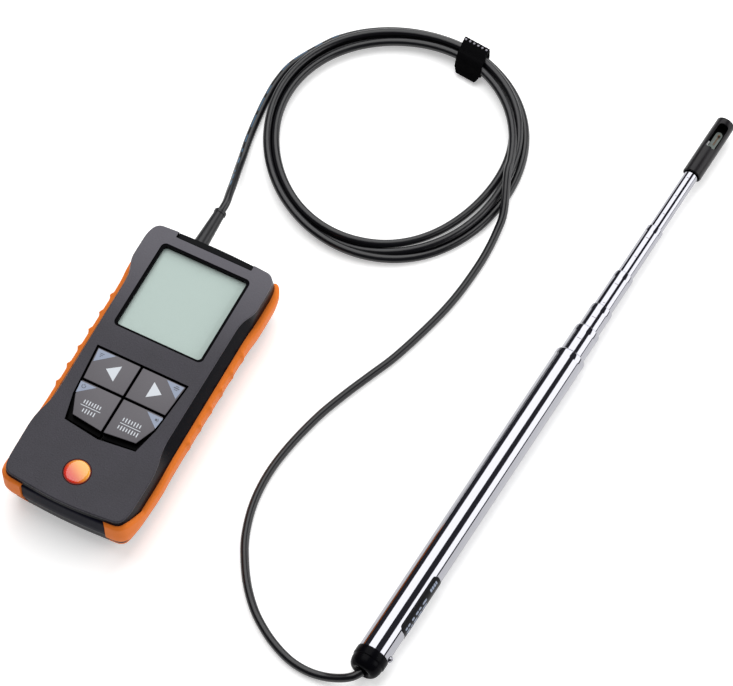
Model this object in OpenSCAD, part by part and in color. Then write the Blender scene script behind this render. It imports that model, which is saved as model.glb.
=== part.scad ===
// Hot-wire anemometer: a handheld display unit on a flexible cable to a telescopic air-speed probe.
// X is across the handset, Y along it towards the cable, Z up. The origin is in the middle of
// the handset's back, on the surface that everything lies on.

/* [Handset] */
// Height of the front face above the surface
face_z = 27; // [26:0.5:30]
// Height of the joint between the two case shells
split_z = 17.5; // [17:0.25:18.5]
// Width of the display opening
window_w = 39.5; // [36:0.5:40]
// Length of the display opening
window_l = 41.5; // [38:0.5:42]
// Middle of the display, along the case
window_y = 34; // [33:0.5:35]
// Radius of the round badge
badge_r = 5.5; // [4:0.5:7]
// Middle of the badge, along the case
badge_y = -49.5; // [-52:0.5:-47]

/* [Keys] */
// Travel of a key
key_travel = 0.6; // [0.3:0.1:0.8]
// Gap between neighbouring keys
key_gap = 1.1; // [0.8:0.1:1.6]

/* [Batteries] */
// Radius of an AA cell
cell_r = 7.1; // [6.8:0.05:7.15]
// Length of an AA cell over its button
cell_l = 50.5; // [49:0.5:51]

/* [Probe] */
// Rear end of the handle tube
probe_at = [131, -57.3];
// Turn of the probe away from the handset's length, in degrees
probe_turn = 4.3; // [0:0.1:20]
// Radius of the handle tube
handle_r = 6.5; // [6.3:0.1:6.6]
// Length of the handle tube
handle_l = 149.8; // [140:0.1:160]
// Rear rim of the probe head, from the rear end of the handle tube
head_at = 248.3; // [240:0.1:252]
// Length of the probe head
head_l = 29.5; // [28:0.5:34]
// Radius of the probe head
head_r = 4; // [3.9:0.05:4.2]
// Turn of the head's slot away from upright, in degrees
head_roll = 12; // [0:1:30]

/* [Cable] */
// Diameter of the cable
cable_d = 3.4; // [3:0.1:4]
// Middle of the coil
coil_at = [34, 152.5];
// Radius of the coil at the middle of its turns
coil_r = 51; // [48:0.5:54]
// Width of the coiled bundle
coil_w = 13; // [11:0.5:14]
// Height of the coiled bundle
coil_h = 7.2; // [6:0.2:9]

/* [Hidden] */
$fn = 64;
eps = 0.01;

anthracite = "#454347";
gloss_black = "#17181a";
orange_rubber = "#de7a34";
key_grey = "#5a585c";
steel = "#c8ccd0";
cable_r = cable_d / 2;

// Case outlines: the right half as [x, y, rounding] from the top corner down, and the y of
// the bowed ends on the centre line.
face_side = [[25.6, 61.2, 2.5], [27.8, 56.5, 4], [27.8, 42.5, 3], [24.8, 36.5, 4],
    [24.2, -26, 6], [27, -35.5, 6], [26.6, -57.5, 5], [24.6, -61.6, 2.5]];
band_side = [[26.4, 62.2, 3], [27.9, 57, 4], [27.9, 42, 5], [27.3, 36, 5],
    [27.2, -26, 6], [27.6, -35, 6], [27.3, -57.5, 5], [25.4, -62.2, 3]];
back_side = [[23.4, 59.6, 3], [25, 55, 4], [25, 42, 5], [24.6, 36, 5],
    [24.6, -26, 6], [24.8, -35, 6], [24.4, -53, 5], [22.6, -56.8, 3]];
grip_side = [[27.4, 63, 1.5], [30, 58.5, 4], [30.2, 42.5, 5], [29.3, 36, 5],
    [29.1, -27, 6], [29.7, -36, 6], [28.8, -57, 6], [26, -63.8, 4]];
grip_foot_side = [[25.6, 61, 1.5], [27.6, 57, 4], [27.6, 42.5, 5], [26.8, 36, 5],
    [26.8, -27, 6], [27.2, -36, 6], [26, -54, 6], [23.6, -59.2, 4]];
ends_y = [[62.9, -64], [63.2, -63.8], [60.4, -57.6], [63.6, -65], [61.8, -60]];
corner_steps = 5;
end_bow = 16;

function unit(v) = v / norm(v);
function bend(a, b, c, r) =
    let (p = b + unit(a - b) * min(r, norm(a - b) / 2), q = b + unit(c - b) * min(r, norm(c - b) / 2))
    [for (i = [0 : corner_steps]) let (t = i / corner_steps)
        p * (1 - t) * (1 - t) + b * 2 * t * (1 - t) + q * t * t];
function inner(v, d) = [sign(v.x) * max(abs(v.x) - d, 0), v.y - sign(v.y) * d, v.z];
// Closed outline from its right half: top bow, right side, bottom bow, left side.
function outline(side, ends, inset = 0) =
    let (n = len(side),
        left = [for (i = [n - 1 : -1 : 0]) [-side[i].x, side[i].y, side[i].z]],
        all = [for (v = concat([[0, ends[0], end_bow]], side, [[0, ends[1], end_bow]], left))
            inner(v, inset)],
        m = len(all))
    [for (i = [0 : m - 1]) let (a = all[(i + m - 1) % m], b = all[i], c = all[(i + 1) % m])
        each bend([a.x, a.y], [b.x, b.y], [c.x, c.y], b.z)];
function mix(a, b, t) = [for (i = [0 : len(a) - 1]) a[i] * (1 - t) + b[i] * t];

face_outline = outline(face_side, ends_y[0]);
band_outline = outline(band_side, ends_y[1]);
back_outline = outline(back_side, ends_y[2]);

// A solid through a stack of outlines that have the same number of points: [[outline, z], ...]
module loft(levels) {
    n = len(levels[0][0]);
    k = len(levels);
    points = [for (level = levels) for (p = level[0]) [p.x, p.y, level[1]]];
    walls = [for (j = [0 : k - 2]) for (i = [0 : n - 1]) let (m = (i + 1) % n)
        each [[j * n + m, (j + 1) * n + m, (j + 1) * n + i], [j * n + m, (j + 1) * n + i, j * n + i]]];
    top = [[for (i = [0 : n - 1]) (k - 1) * n + i]];
    bottom = [[for (i = [n - 1 : -1 : 0]) i]];
    polyhedron(points, concat(walls, top, bottom));
}

module block(lo, hi) {
    translate(lo) cube(hi - lo);
}

module round_plate(w, l, r, z0, z1) {
    translate([0, 0, z0]) linear_extrude(z1 - z0) {
        square([w - 2 * r, l], center = true);
        square([w, l - 2 * r], center = true);
        for (x = [-1, 1], y = [-1, 1]) translate([x * (w / 2 - r), y * (l / 2 - r)]) circle(r);
    }
}

// ---- Case shells ----
wall = 1.8;
plate_z = face_z - 2.2;
cavity_x = 22.6;
rear_cavity_x = 24;
cavity_y = [-60, 59];
boss_at = [for (x = [-23.2, 23.2], y = [5.5, 56]) [x, y]];
boss_r = 2.5;
screw_r = 1.2;
bay_x = 22;
bay_y = [-57.5, -1.5];
bay_top = 16.9;
cover_x = 21.4;
cover_y = -1.2;
cover_t = 1.8;
cover_gap = 0.3;
// Floor of the notch in the case's end that holds the cable panel
notch_y = 60;

shell_levels = [[back_outline, 0], [outline(back_side, ends_y[2], -0.9), 1.2],
    [mix(back_outline, band_outline, 0.72), 7], [mix(back_outline, band_outline, 0.94), 13],
    [band_outline, split_z]];

module rear_shell() {
    color(anthracite) difference() {
        union() {
            difference() {
                loft(shell_levels);
                block([-rear_cavity_x, 0, wall], [rear_cavity_x, cavity_y[1], split_z + 1]);
                block([-rear_cavity_x, cavity_y[0] + 5, 14], [rear_cavity_x, 1, split_z + 1]);
                block([-bay_x, bay_y[0], 1], [bay_x, bay_y[1], bay_top - 0.6]);
            }
            for (p = boss_at) translate([p.x, p.y, 0.5]) cylinder(r = boss_r, h = split_z - 0.5 - 0.2);
        }
        // Channel for the sliding battery cover, open at the bottom end of the case
        block([-cover_x - cover_gap, -80, -1], [cover_x + cover_gap, cover_y + cover_gap, cover_t + 0.2]);
        block([-bay_x, bay_y[0], 1], [bay_x, bay_y[1], bay_top - 0.6]);
        block([-cover_x - 1.3, -80, 0.6], [cover_x + 1.3, cover_y + cover_gap, 1.5]);
        for (p = boss_at) translate([p.x, p.y, 0]) {
            translate([0, 0, -1]) cylinder(r = screw_r + 0.25, h = 30);
            translate([0, 0, -1]) cylinder(r = 2.2, h = 3.4);
        }
        block([-12.6, 57, 12.3], [-7, 66, split_z + 1]);
        block([-16.4, notch_y, 3], [17.4, 66, split_z + 1]);
    }
}

// Opening for the four keys: wide at the top, with chamfered lower corners and a bowed foot.
key_top = 2.2;
key_foot = -30.8;
key_mid = -13.3;
function key_field(d) = [[-20 - d, key_top + d], [20 + d, key_top + d], [18 + d, -20.6 - d / 3],
    [14.6 + d, -29.2 - d], [0, key_foot - d], [-14.6 - d, -29.2 - d], [-18 - d, -20.6 - d / 3]];
recess_foot = [[-18.2, -20.6], [18.2, -20.6], [15.6, -31.8], [0, -33.8], [-15.6, -31.8]];

module front_shell() {
    color(anthracite) difference() {
        union() {
            difference() {
                loft([[band_outline, split_z], [band_outline, split_z + 1.5],
                    [face_outline, face_z - 1.5], [outline(face_side, ends_y[0], 0.35), face_z - 0.4],
                    [outline(face_side, ends_y[0], 1.85), face_z + 0.4]]);
                block([-40, -80, face_z], [40, 80, face_z + 1]);
                block([-cavity_x, cavity_y[0], split_z - 1], [cavity_x, cavity_y[1], plate_z]);
            }
            for (p = boss_at) translate([p.x, p.y, split_z + 0.1]) cylinder(r = boss_r - 0.3, h = 3.6);
        }
        translate([0, window_y, 0]) round_plate(window_w, window_l, 2.2, 20, face_z + 1);
        translate([0, 0, 20]) linear_extrude(10) {
            polygon(key_field(0.25));
            polygon(recess_foot);
        }
        translate([0, badge_y, face_z - 1]) cylinder(r = badge_r + 0.1, h = 2);
        block([-16.4, notch_y, 16], [17.4, 66, 30]);
        end_rebate();
        for (p = boss_at) translate([p.x, p.y, split_z - 1]) cylinder(r = screw_r - 0.1, h = 7);
    }
}

// ---- Soft side grips, with one strap each that turns round the bottom corner ----
grip_z = [4.5, 18.6];
panel_x = 19.3;
// Towards the bottom end the grips and the end panel rise to a rim just under the face
rim_z = 24.2;
rim_y = [-50, -60.5];
core_outline = outline(band_side, ends_y[1], 1.2);

// Everything at the bottom end below the slope from the grips' top to the rim
module below_slope() {
    rotate([90, 0, 90]) translate([0, 0, -50]) linear_extrude(100)
        polygon([[rim_y[0], 16], [rim_y[0], grip_z[1]], [rim_y[1], rim_z], [-90, rim_z], [-90, 16]]);
}

module end_rebate() {
    difference() {
        below_slope();
        loft([[core_outline, 10], [core_outline, 30]]);
    }
}

// Band round the case between grip_z levels, outside the shells, with its raised end
module edge_band(inset) {
    top = outline(grip_side, ends_y[3], inset);
    foot = outline(grip_foot_side, ends_y[4], inset);
    difference() {
        union() {
            loft([[mix(foot, top, 0.1), grip_z[0]], [mix(foot, top, 0.85), 10],
                [top, 15], [top, 17.8], [outline(grip_side, ends_y[3], inset + 0.9), grip_z[1]]]);
            intersection() {
                loft([[top, 12], [top, rim_z - 0.9], [outline(grip_side, ends_y[3], inset + 1.1), rim_z + 0.3]]);
                below_slope();
            }
        }
        intersection() {
            loft(concat(shell_levels, [[band_outline, grip_z[1] + 1]]));
            union() {
                block([-40, rim_y[0], -1], [40, 80, 30]);
                block([-40, -80, -1], [40, rim_y[0] + 1, split_z]);
            }
        }
        loft([[core_outline, 10], [core_outline, 30]]);
    }
}

module grip_right() {
    color(orange_rubber) difference() {
        edge_band(0);
        block([-40, -80, 0], [panel_x, 0, 30]);
        block([-40, -1, 0], [26.2, 80, 30]);
    }
}

module grip_left() { mirror([1, 0, 0]) grip_right(); }

module end_panel() {
    color("#23242c") difference() {
        edge_band(0.4);
        block([-40, -50, 0], [40, 80, 30]);
        block([panel_x, -80, 0], [40, 80, 30]);
        block([-40, -80, 0], [-panel_x, 80, 30]);
    }
}

relief_at = [-9.8, 63, 15.5];
panel_outline = outline(band_side, ends_y[1], 0.5);
relief_l = 20.4;

module cable_panel() {
    color(gloss_black) difference() {
        intersection() {
            block([-16.3, notch_y + 0.1, 3.2], [17.3, 66, 25.3]);
            loft([[panel_outline, 0], [panel_outline, 30]]);
        }
        translate([relief_at.x, 50, relief_at.z]) rotate([-90, 0, 0]) cylinder(r = 2.5, h = 20);
    }
}

// ---- Display ----
module display_frame() {
    color(gloss_black) translate([0, window_y, 0]) difference() {
        union() {
            round_plate(window_w - 0.2, window_l - 0.2, 2.1, 22, face_z - 0.3);
            round_plate(window_w + 3, window_l + 3, 2.5, 22, plate_z - 0.1);
        }
        round_plate(window_w - 2.4, window_l - 2, 1.6, 21, face_z + 1);
        round_plate(window_w - 1.6, window_l - 1.2, 1.6, 21, face_z - 1.7);
    }
}

module display_window() {
    color([0.85, 0.9, 0.88, 0.3]) translate([0, window_y, 0])
        round_plate(window_w - 1.8, window_l - 1.4, 1.7, face_z - 2.3, face_z - 1.75);
}

module lcd_panel() {
    color("#b0c0ba") translate([0, window_y, 0])
        round_plate(window_w - 1.8, window_l - 1.4, 1.7, face_z - 4.1, face_z - 2.35);
}

module backlight() {
    color("white") translate([0, window_y, 0]) {
        round_plate(window_w - 1.8, window_l - 1.4, 1.7, 20.6, face_z - 4.2);
        for (x = [-16, 16], y = [-17, 17]) translate([x, y, board_z[1] + 0.05]) cylinder(r = 1, h = 1.7);
    }
}

module elastomer_connector() {
    color("#c9a7a0") block([-17, window_y - window_l / 2 - 1, board_z[1]],
        [17, window_y - window_l / 2 + 0.5, 21.9]);
}

// ---- Keys ----
key_z = [23, face_z - 0.15];
flange_z = plate_z - 0.5;

// side is -1 on the left and 1 on the right; row is 1 for the upper keys and -1 for the lower
module key_plan(side, row, d) {
    x0 = side > 0 ? key_gap / 2 : -50;
    y0 = row > 0 ? key_mid + key_gap / 2 : -50;
    y1 = row > 0 ? 50 : key_mid - key_gap / 2;
    intersection() {
        polygon(key_field(d));
        translate([x0, y0]) square([50 - key_gap / 2, y1 - y0]);
    }
}

module key(side, row) {
    color(key_grey) {
        translate([0, 0, flange_z - eps]) linear_extrude(key_z[1] - flange_z) key_plan(side, row, -0.7);
        translate([0, 0, key_z[0]]) linear_extrude(flange_z - key_z[0]) key_plan(side, row, 0.9);
        translate([side * 9, row > 0 ? -5.6 : -20.5, key_z[0] - 0.4]) cylinder(r = 2.2, h = 0.5);
    }
}

module key_left() { key(-1, 1); }
module key_right() { key(1, 1); }
module key_mode() { key(-1, -1); }
module key_menu() { key(1, -1); }

module keypad_mat() {
    color("#101012") {
        block([-21.5, -36, board_z[1]], [21.5, 4, 20.6]);
        for (x = [-9, 9], y = [-5.6, -20.5]) translate([x, y, 20.5])
            cylinder(r1 = 4, r2 = 2.6, h = key_z[0] - 0.4 - key_travel - 20.6);
    }
}

module badge() {
    color("#e0592c") translate([0, badge_y, 0]) rotate_extrude()
        polygon([[0, face_z - 0.9], [badge_r, face_z - 0.9], [badge_r, face_z + 0.1],
            for (i = [1 : 6]) [badge_r * cos(i * 15), face_z + 0.1 + 0.8 * sin(i * 15)]]);
}

// ---- Electronics ----
board_z = [17.7, 18.9];

module circuit_board() {
    color("#1f6b43") difference() {
        block([-22.3, -57, board_z[0]], [22.3, 58.5, board_z[1]]);
        for (p = boss_at) translate([p.x, p.y, 10]) cylinder(r = boss_r + 0.3, h = 20);
    }
}

module board_chip(x, y, w, l, h) {
    translate([x - w / 2, y - l / 2, board_z[0] - h]) cube([w, l, h]);
}

module processor_chip() { color("#202022") board_chip(6, 24, 10, 10, 1.6); }
module radio_module() { color("#b8bcc0") board_chip(10, 45, 14, 18, 2.4); }
module cable_socket() { color("#e8e4da") board_chip(-9.8, 31, 9, 7, 4.2); }

module buzzer() {
    color("#202022") translate([-11, 16, board_z[0] - 6]) difference() {
        cylinder(r = 5, h = 6);
        translate([0, 0, -1]) cylinder(r = 1, h = 3);
    }
}

// ---- Batteries: three AA cells side by side ----
cell_z = 2.3 + cell_r;
cell_pitch = 14.5;
contact_t = 0.35;
spring_turns = 6;
spring_wire = 0.4;
spring_l = spring_turns * 2 * spring_wire;

// The middle cell lies the other way round, so its spring is at the other end of the bay
module battery(slot) {
    y0 = bay_y[0] + contact_t + (slot == 0 ? 0 : spring_l);
    color("#30343a") translate([slot * cell_pitch, y0 + cell_l / 2, cell_z])
        rotate([-90, 0, 0]) rotate([slot == 0 ? 180 : 0, 0, 0]) translate([0, 0, -cell_l / 2]) {
            cylinder(r = cell_r, h = cell_l - 1.3);
            cylinder(r = 2.6, h = cell_l);
        }
}

module battery_1() { battery(-1); }
module battery_2() { battery(0); }
module battery_3() { battery(1); }

module battery_springs() {
    color(steel) for (slot = [-1 : 1])
        translate([slot * cell_pitch, slot == 0 ? bay_y[1] - contact_t : bay_y[0] + contact_t, cell_z])
            rotate([slot == 0 ? 90 : -90, 0, 0]) for (i = [0 : spring_turns - 1])
                translate([0, 0, (2 * i + 1) * spring_wire]) rotate_extrude()
                    translate([4.2 - i * 0.35, 0]) circle(r = spring_wire, $fn = 16);
}

module battery_contacts() {
    color(steel) for (slot = [-1 : 1], y = [bay_y[0], bay_y[1] - contact_t])
        block([slot * cell_pitch - 5, y, 4], [slot * cell_pitch + 5, y + contact_t, 15]);
}

module battery_cover() {
    color(anthracite) difference() {
        intersection() {
            loft(shell_levels);
            union() {
                block([-cover_x, -80, 0], [cover_x, cover_y, cover_t]);
                block([-cover_x - 1, -80, 0.8], [cover_x + 1, cover_y, 1.3]);
            }
        }
        for (i = [0 : 4]) block([-8, -50 + i * 1.8, -1], [8, -49.2 + i * 1.8, 0.5]);
    }
}

module case_screws() {
    color(steel) for (p = boss_at) translate([p.x, p.y, 0]) difference() {
        union() {
            translate([0, 0, 0.8]) cylinder(r = 2, h = 1.6);
            translate([0, 0, 2.3]) cylinder(r = screw_r, h = 20);
        }
        cylinder(r = 0.9, h = 1.5, $fn = 6);
    }
}

// ---- Cable entry ----
module cable_tail() {
    color("#202124") translate([relief_at.x, 34.6, relief_at.z]) rotate([-90, 0, 0])
        cylinder(r = cable_r, h = relief_at.y - 34.6 - 3);
}

module cable_clamp() {
    color("#202022") difference() {
        block([-14.6, 48, wall], [-5, 54, 17.4]);
        translate([relief_at.x, 40, relief_at.z]) rotate([-90, 0, 0]) cylinder(r = cable_r, h = 20);
    }
}

module strain_relief() {
    color("#1b1c1f") translate([relief_at.x, relief_at.y - 3, relief_at.z]) rotate([-90, 0, 0])
        rotate_extrude() polygon([[0, 0], [3.4, 0], [3.4, 0.4], [2.45, 0.4], [2.45, 2.7], [3.1, 2.9],
            [3.1, 4.5], [2.35, relief_l + 1], [2.35, relief_l + 1.3], [2.6, relief_l + 1.5],
            [2.6, relief_l + 2.6], [2.3, relief_l + 3], [0, relief_l + 3]]);
}

// ---- Probe: a chain of tubes, each sliding in the one behind it ----
probe_z = 6.7;
tube_r = [handle_r, 5.4, 4.75, 4.15, 3.55, 3];
tube_wall = [0.6, 0.3, 0.3, 0.3, 0.3, 0.3];
// Front end of each tube, from the rear end of the handle tube
tube_front = [handle_l, 163.1, 174.7, 192.8, 218.2, head_at + 3.5];
fit = 0.05;
collar_l = 3;
bush_l = 8;
// Each section stops this far from the one behind it when the telescope is closed
closed_step = 1.5;
closed_rear = 12.5;
function closed_front(i) = handle_l + closed_step * i + (i == 5 ? tube_front[5] - head_at : 0);
function tube_l(i) = i == 0 ? handle_l : closed_front(i) - closed_rear;
function tube_rear(i) = tube_front[i] - tube_l(i);

module on_probe() {
    translate([probe_at.x, probe_at.y, probe_z]) rotate([0, 0, -probe_turn]) rotate([-90, 0, 0])
        children();
}

// Tube with its front end rolled in to guide the next tube
module rolled_tube(i) {
    ro = tube_r[i];
    ri = ro - tube_wall[i];
    l = tube_l(i);
    rim = i == 5 ? ri : tube_r[i + 1] + fit;
    lip = i == 5 ? 0.1 : 0.7;
    translate([0, 0, tube_rear(i)]) rotate_extrude($fn = 96) polygon([[ri, 0], [ro, 0],
        for (k = [0 : 6]) [ro - lip + lip * cos(k * 15), l - lip + lip * sin(k * 15)],
        [rim, l], [rim, l - collar_l], [ri, l - collar_l]]);
}

module tube_section(i) { color(steel) on_probe() rolled_tube(i); }
module tube_section_1() { tube_section(1); }
module tube_section_2() { tube_section(2); }
module tube_section_3() { tube_section(3); }
module tube_section_4() { tube_section(4); }
module tube_section_5() { tube_section(5); }

// Slotted spring bush on the rear end of each section, which gives the telescope its friction
module guide_bush(i) {
    bore = tube_r[i - 1] - tube_wall[i - 1];
    color("#d8b25a") on_probe() translate([0, 0, tube_rear(i)]) difference() {
        cylinder(r = bore - fit, h = bush_l);
        translate([0, 0, -1]) cylinder(r = tube_r[i], h = bush_l + 2);
        block([-0.4, 0, 1.5], [0.4, 20, bush_l - 1.5]);
    }
}

module guide_bush_1() { guide_bush(1); }
module guide_bush_2() { guide_bush(2); }
module guide_bush_3() { guide_bush(3); }
module guide_bush_4() { guide_bush(4); }
module guide_bush_5() { guide_bush(5); }

cap_screw_at = 1.6;

module probe_handle() {
    color(steel) difference() {
        on_probe() rolled_tube(0);
        on_probe() translate([0, 0, cap_screw_at]) rotate([0, 90, 0]) cylinder(r = 0.85, h = 10);
    }
}

module handle_label() {
    color("#15161a") on_probe() translate([0, 0, 12.3]) rotate([0, 0, -52])
        rotate_extrude(angle = 88, $fn = 96) translate([handle_r, 0]) square([0.12, 26.5]);
}

cap_r = 6.7;
cap_l = 8.4;

module end_cap() {
    plug_r = handle_r - tube_wall[0];
    color("#1a1a1c") difference() {
        on_probe() rotate_extrude($fn = 96) polygon([[0, -cap_l], [4.2, -cap_l], [5.5, -cap_l + 1.2],
            [6.3, -5.4], [6.4, -3.8], [cap_r, -3.5], [cap_r, -0.3], [cap_r - 0.3, 0], [plug_r, 0],
            [plug_r, 9], [0, 9]]);
        on_probe() translate([0, 0, -4]) cylinder(r = 3, h = 20);
        on_probe() translate([0, 0, cap_screw_at]) rotate([0, 90, 0]) cylinder(r = 0.8, h = 10);
    }
}

module end_cap_screw() {
    color(steel) on_probe() translate([0, 0, cap_screw_at]) rotate([0, 90, 0]) {
        translate([0, 0, 2.4]) cylinder(r = 0.8, h = 4.3);
        translate([0, 0, handle_r]) rotate_extrude()
            polygon([[0, 0], [1.3, 0], for (k = [0 : 6]) [1.3 * cos(k * 15), 0.3 + 0.9 * sin(k * 15)]]);
    }
}

// ---- Probe head ----
slot_w = 4.4;
slot_z = [head_at + 13.5, head_at + 26.4];
// Depth of the pocket in the carrier, past its middle, and the pocket's floor
pocket_y = 1.2;
pocket_z = head_at + 13;
sleeve_bore = 3.4;
carrier_r = sleeve_bore - fit;
plate_x = 0.3;
plate_w = 2.9;

module head_frame() {
    on_probe() rotate([0, 0, head_roll]) children();
}

module through_slot(w, z0, z1) {
    translate([0, 0, (z0 + z1) / 2]) rotate([90, 0, 0]) {
        cube([w, z1 - z0 - w, 20], center = true);
        for (s = [-1, 1]) translate([0, s * ((z1 - z0) / 2 - w / 2), 0])
            cylinder(r = w / 2, h = 20, center = true);
    }
}

module protective_sleeve() {
    tip = head_at + head_l;
    color("#1a1a1c") head_frame() difference() {
        rotate_extrude($fn = 96) polygon([[sleeve_bore, head_at], [head_r - 0.2, head_at],
            [head_r, head_at + 0.2], for (k = [0 : 5]) [head_r - 1.6 + 1.6 * cos(k * 18),
            tip - 1 + sin(k * 18)], [0, tip], [0, tip - 0.9], [sleeve_bore, tip - 0.9]]);
        through_slot(slot_w, slot_z[0], slot_z[1]);
    }
}

module sensor_carrier() {
    bore = tube_r[5] - tube_wall[5];
    color("#151517") head_frame() difference() {
        union() {
            translate([0, 0, head_at - 7.5]) cylinder(r = bore, h = tube_front[5] - head_at + 7.5);
            translate([0, 0, tube_front[5]]) cylinder(r = carrier_r, h = head_at + head_l - 1.1 - tube_front[5]);
        }
        intersection() {
            through_slot(5, pocket_z, slot_z[1] + 0.4);
            block([-4, -6, head_at], [4, pocket_y, head_at + 40]);
        }
        block([-2.5, -5, pocket_z], [2.5, pocket_y, pocket_z + 4]);
    }
}

module sensor_plate() {
    color("#8f9792") head_frame() translate([plate_x, 0, 0]) {
        block([-plate_w / 2, -0.3, pocket_z], [plate_w / 2, 0.3, head_at + 24 - plate_w / 2]);
        translate([0, 0, head_at + 24 - plate_w / 2]) rotate([90, 0, 0])
            cylinder(r = plate_w / 2, h = 0.6, center = true);
    }
}

module hot_wire_bead() {
    color("#b07040") head_frame() {
        translate([plate_x + 0.2, -0.85, head_at + 22.1]) sphere(r = 0.55);
        for (x = [0, 0.4]) translate([plate_x + x, -0.42, head_at + 17.2]) cylinder(r = 0.12, h = 4.9, $fn = 16);
    }
}

module temperature_sensor() {
    color("#f2f4f4") head_frame() {
        translate([-1.75, 0, head_at + 14.5]) cylinder(r = 0.38, h = 3.4, $fn = 24);
        translate([-1.75, 0, pocket_z]) cylinder(r = 0.15, h = 1.6, $fn = 16);
    }
}

module sensor_grommet() {
    color("#101010") head_frame() translate([-0.1, -0.3, head_at + 14.8]) rotate([90, 0, 0]) difference() {
        cylinder(r = 0.95, h = 0.5);
        translate([0, 0, -1]) cylinder(r = 0.4, h = 3, $fn = 24);
    }
}

// ---- Cable ----
function along(p, q, r, s, t) = 0.5 * ((2 * q) + (r - p) * t + (2 * p - 5 * q + 4 * r - s) * t * t
    + (3 * q - p - 3 * r + s) * t * t * t);
// Smooth curve through route points, with a ring at each point and at each part between them
function smooth_route(pts, parts) = let (n = len(pts)) concat(
    [for (i = [0 : n - 2], k = [0 : parts - 1])
        along(pts[max(i - 1, 0)], pts[i], pts[i + 1], pts[min(i + 2, n - 1)], k / parts)],
    [pts[n - 1]]);

module cable_tube(pts, parts) {
    sides = 8;
    path = smooth_route(pts, parts);
    n = len(path);
    points = [for (i = [0 : n - 1]) let (t = unit(path[min(i + 1, n - 1)] - path[max(i - 1, 0)]),
        u = unit(cross(t, [0, 0, 1])), v = cross(u, t))
        for (k = [0 : sides - 1]) path[i] + cable_r * (u * cos(k * 45) + v * sin(k * 45))];
    walls = [for (i = [0 : n - 2], k = [0 : sides - 1]) let (m = (k + 1) % sides)
        each [[i * sides + m, (i + 1) * sides + m, (i + 1) * sides + k],
            [i * sides + m, (i + 1) * sides + k, i * sides + k]]];
    ends = [[for (k = [sides - 1 : -1 : 0]) k], [for (k = [0 : sides - 1]) (n - 1) * sides + k]];
    color("#202124") polyhedron(points, [for (f = concat(walls, ends)) [for (i = [len(f) - 1 : -1 : 0]) f[i]]]);
}

// From the strain relief down to the surface and along to the outside of the coil
handset_route = [[-9.8, 83.4, 15.5], [-10, 88, 15], [-11.6, 94, 13], [-13.6, 101, 9.8],
    [-15.8, 108, 6.4], [-18, 116, 3.4], [-20.2, 125, 2], [-21.8, 135, 1.75], [-23, 146, 1.75],
    [-23.2, 157, 1.75], [-21, 168, 1.75], [-17, 177, 1.75]];
// From the outside of the coil, across the surface, to the middle of the probe's end cap
probe_route = [[88.8, 141, 4.5], [90, 132, 2.7], [90.4, 122, 1.9], [90, 112, 1.75], [88.8, 100, 1.75],
    [86.8, 89, 1.75], [83.4, 76, 1.75], [79, 62, 1.75], [74.4, 51, 1.75], [69.4, 39, 1.75],
    [64.4, 25, 1.75], [60.4, 8, 1.75], [58.8, -6.5, 1.75], [59.8, -20.5, 1.75], [63.4, -33.4, 1.75],
    [68.2, -43, 1.75], [74.2, -52, 1.75], [81.6, -60, 1.75], [89.6, -65.9, 1.75], [97, -69.8, 1.75],
    [104, -72.2, 1.8], [111, -73, 2], [117.6, -72.4, 2.7], [123.6, -71, 4.6], [128, -68.9, 6.3],
    [130.37, -65.68, 6.7]];

module cable_lead_handset() { cable_tube(handset_route, 1); }
module cable_lead_probe() { cable_tube(probe_route, 2); }

tie_turn = 78;
tie_w = 12;
tie_t = 1;

module bundle_ring(grow, z0, z1, angle) {
    rotate_extrude(angle = angle, $fn = 128)
        translate([coil_r - coil_w / 2 - grow, z0]) square([coil_w + 2 * grow, z1 - z0]);
}

tie_span = tie_w / coil_r * 180 / PI;

module tie_sector() {
    rotate([0, 0, tie_turn - tie_span / 2]) children();
}

module cable_coil() {
    color("#202124") translate([coil_at.x, coil_at.y, 0]) difference() {
        bundle_ring(0, 0, coil_h, 360);
        tie_sector() bundle_ring(2, -1, tie_t, tie_span);
    }
}

module cable_tie() {
    color("#0c0c0d") translate([coil_at.x, coil_at.y, 0]) tie_sector() difference() {
        bundle_ring(1.4, 0, coil_h + 1.4, tie_span);
        rotate([0, 0, -1]) bundle_ring(0, tie_t, coil_h, tie_span + 2);
    }
}

rear_shell();
front_shell();
grip_left();
grip_right();
end_panel();
cable_panel();
display_frame();
display_window();
lcd_panel();
backlight();
elastomer_connector();
key_left();
key_right();
key_mode();
key_menu();
keypad_mat();
badge();
circuit_board();
processor_chip();
radio_module();
buzzer();
cable_socket();
battery_1();
battery_2();
battery_3();
battery_springs();
battery_contacts();
battery_cover();
case_screws();
cable_tail();
cable_clamp();
strain_relief();
probe_handle();
handle_label();
end_cap();
end_cap_screw();
tube_section_1();
tube_section_2();
tube_section_3();
tube_section_4();
tube_section_5();
guide_bush_1();
guide_bush_2();
guide_bush_3();
guide_bush_4();
guide_bush_5();
sensor_carrier();
protective_sleeve();
sensor_plate();
hot_wire_bead();
temperature_sensor();
sensor_grommet();
cable_lead_handset();
cable_coil();
cable_lead_probe();
cable_tie();
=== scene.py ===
"""Looks of a hot-wire anemometer: handset, coiled cable with its strap, and telescopic probe."""
import math

import bmesh
import bpy
import numpy as np
from mathutils import Matrix, Vector


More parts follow.
